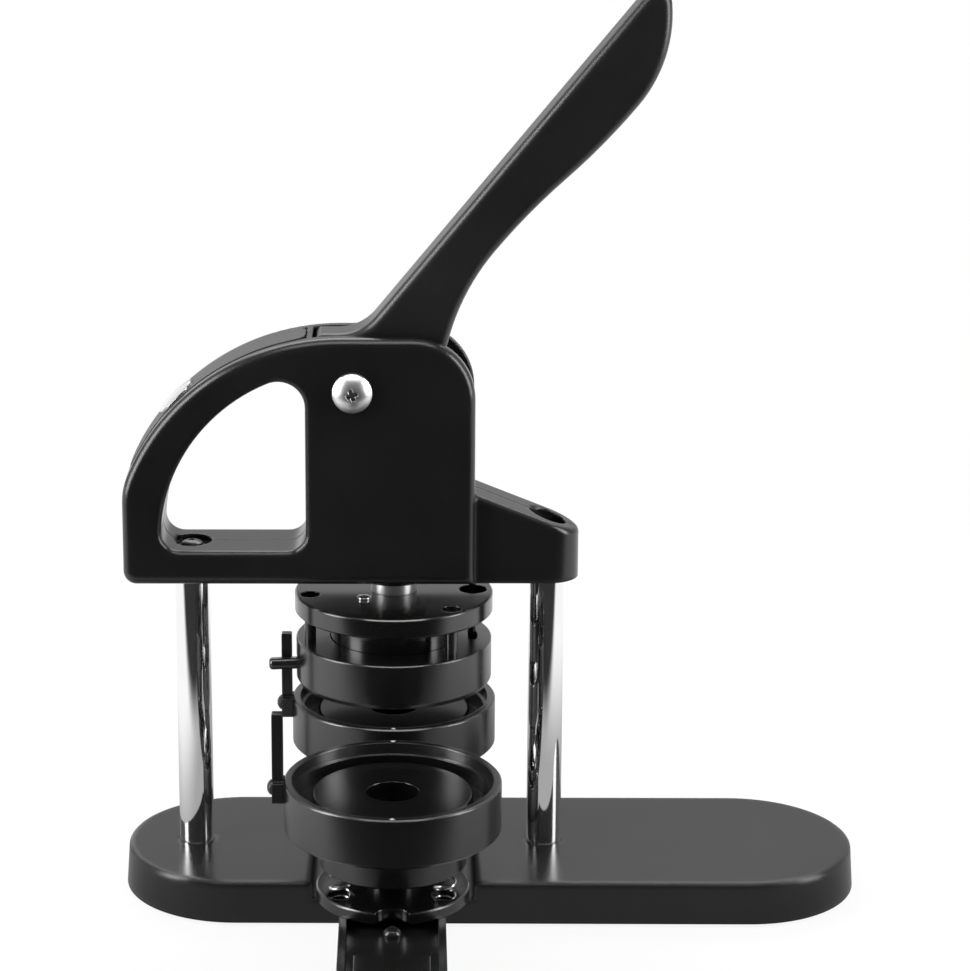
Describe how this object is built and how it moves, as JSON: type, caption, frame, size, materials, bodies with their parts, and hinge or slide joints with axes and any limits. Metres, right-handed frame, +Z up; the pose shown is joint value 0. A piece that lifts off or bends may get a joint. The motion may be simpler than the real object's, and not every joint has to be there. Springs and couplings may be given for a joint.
{
  "type": "button badge maker",
  "caption": "Lever press that crimps round button badges: a handle in an arched head drives a ram and upper ring onto sprung dies that slide under it on a flat base.",
  "frame": {"origin": "on the table plane under the middle of the base", "axes": "+X to the right seen from the front, +Y away from the front, +Z up"},
  "size_m": [0.31, 0.2265, 0.3823],
  "materials": {
    "base_paint": "satin black paint",
    "rubber": "matt black rubber",
    "column_chrome": "hard chrome, polished",
    "screw_steel": "bright zinc",
    "head_plastic": "satin black moulded plastic",
    "strip_rubber": "soft grey-black grip",
    "stud_chrome": "bright chrome",
    "bush_bronze": "plain bronze",
    "pivot_chrome": "bright chrome",
    "handle_paint": "satin black paint on a light casting",
    "ram_chrome": "ground and chromed",
    "pin_steel": "black oxide steel",
    "plate_black": "polished black anodised",
    "pad_rubber": "firm black rubber",
    "ring_black": "polished black anodised",
    "selector_steel": "plain steel",
    "guide_black": "satin black",
    "slide_black": "black anodised",
    "cup_black": "polished black anodised",
    "pedestal_black": "black anodised",
    "post_steel": "black oxide steel",
    "spring_steel": "bright nickel-plated wire"
  },
  "bodies": {
    "base_frame": {"base": "base_paint", "foot_1": "rubber", "foot_2": "rubber", "foot_3": "rubber", "foot_4": "rubber", "foot_5": "rubber", "left_column": "column_chrome", "right_column": "column_chrome", "left_column_screw": "post_steel", "right_column_screw": "post_steel", "head_front_shell": "head_plastic", "head_rear_shell": "head_plastic", "grip_strip": "strip_rubber", "strip_stud": "stud_chrome", "ram_bush": "bush_bronze", "pivot_bolt": "pivot_chrome", "pivot_nut": "pivot_chrome", "slide_guide": "guide_black", "left_keeper": "guide_black", "right_keeper": "guide_black"},
    "lever": {"handle": "handle_paint", "pivot_bush": "bush_bronze"},
    "ram_set": {"ram": "ram_chrome", "drive_pin": "pin_steel", "top_plate": "plate_black", "plate_screw_1": "screw_steel", "plate_screw_2": "screw_steel", "core": "plate_black", "press_pad": "pad_rubber"},
    "ring_set": {"upper_ring": "ring_black", "guide_post_1": "pin_steel", "guide_post_2": "pin_steel", "guide_post_3": "pin_steel", "selector_retainer": "selector_steel"},
    "selector": {"selector_ring": "selector_steel", "selector_pin": "pin_steel", "stop_post": "pin_steel"},
    "slide_set": {"die_slide": "slide_black", "front_locating_screw": "post_steel", "rear_locating_screw": "post_steel", "front_flange": "slide_black", "rear_flange": "slide_black", "front_pedestal": "pedestal_black", "rear_pedestal": "pedestal_black", "front_spring_1": "spring_steel", "front_spring_2": "spring_steel", "front_spring_3": "spring_steel", "rear_spring_1": "spring_steel", "rear_spring_2": "spring_steel", "rear_spring_3": "spring_steel"},
    "front_cup_set": {"front_cup": "cup_black", "front_shift_post": "post_steel", "front_post_screw": "post_steel"},
    "rear_cup_set": {"rear_cup": "cup_black", "rear_shift_post": "post_steel", "rear_post_screw": "post_steel"}
  },
  "joints": [
    {"name": "handle_swing", "type": "hinge", "parent": "base_frame", "child": "lever", "pos_m": [-0.0575, 0, 0.22015], "axis": [0, 1, 0], "range_deg": [0, 59]},
    {"name": "ram_slide", "type": "slide", "parent": "base_frame", "child": "ram_set", "axis": [0, 0, -1], "range_m": [0, 0.01901]},
    {"name": "ring_follow", "type": "slide", "parent": "ram_set", "child": "ring_set", "axis": [0, 0, 1], "range_m": [0, 0.01133]},
    {"name": "selector_swing", "type": "hinge", "parent": "ring_set", "child": "selector", "pos_m": [-0.0407, 0, 0.1], "axis": [0, 0, -1], "range_deg": [0, 14]},
    {"name": "die_shift", "type": "slide", "parent": "base_frame", "child": "slide_set", "axis": [0, 1, 0], "range_m": [0, 0.0963]},
    {"name": "front_cup_float", "type": "slide", "parent": "slide_set", "child": "front_cup_set", "axis": [0, 0, -1], "range_m": [0, 0.004], "stiffness_N_per_m": 6000, "springref_m": -0.002, "deforming": ["front_spring_1", "front_spring_2", "front_spring_3"]},
    {"name": "rear_cup_float", "type": "slide", "parent": "slide_set", "child": "rear_cup_set", "axis": [0, 0, -1], "range_m": [0, 0.004], "stiffness_N_per_m": 6000, "springref_m": -0.002, "deforming": ["rear_spring_1", "rear_spring_2", "rear_spring_3"]}
  ],
  "couplings": [
    {"joint": "ram_slide", "follows": "handle_swing", "m_per_rad": 0.018461},
    {"joint": "ring_follow", "follows": "handle_swing", "m_per_rad": 0.011003},
    {"joint": "selector_swing", "follows": "die_shift", "rad_per_m": 2.5373}
  ]
}
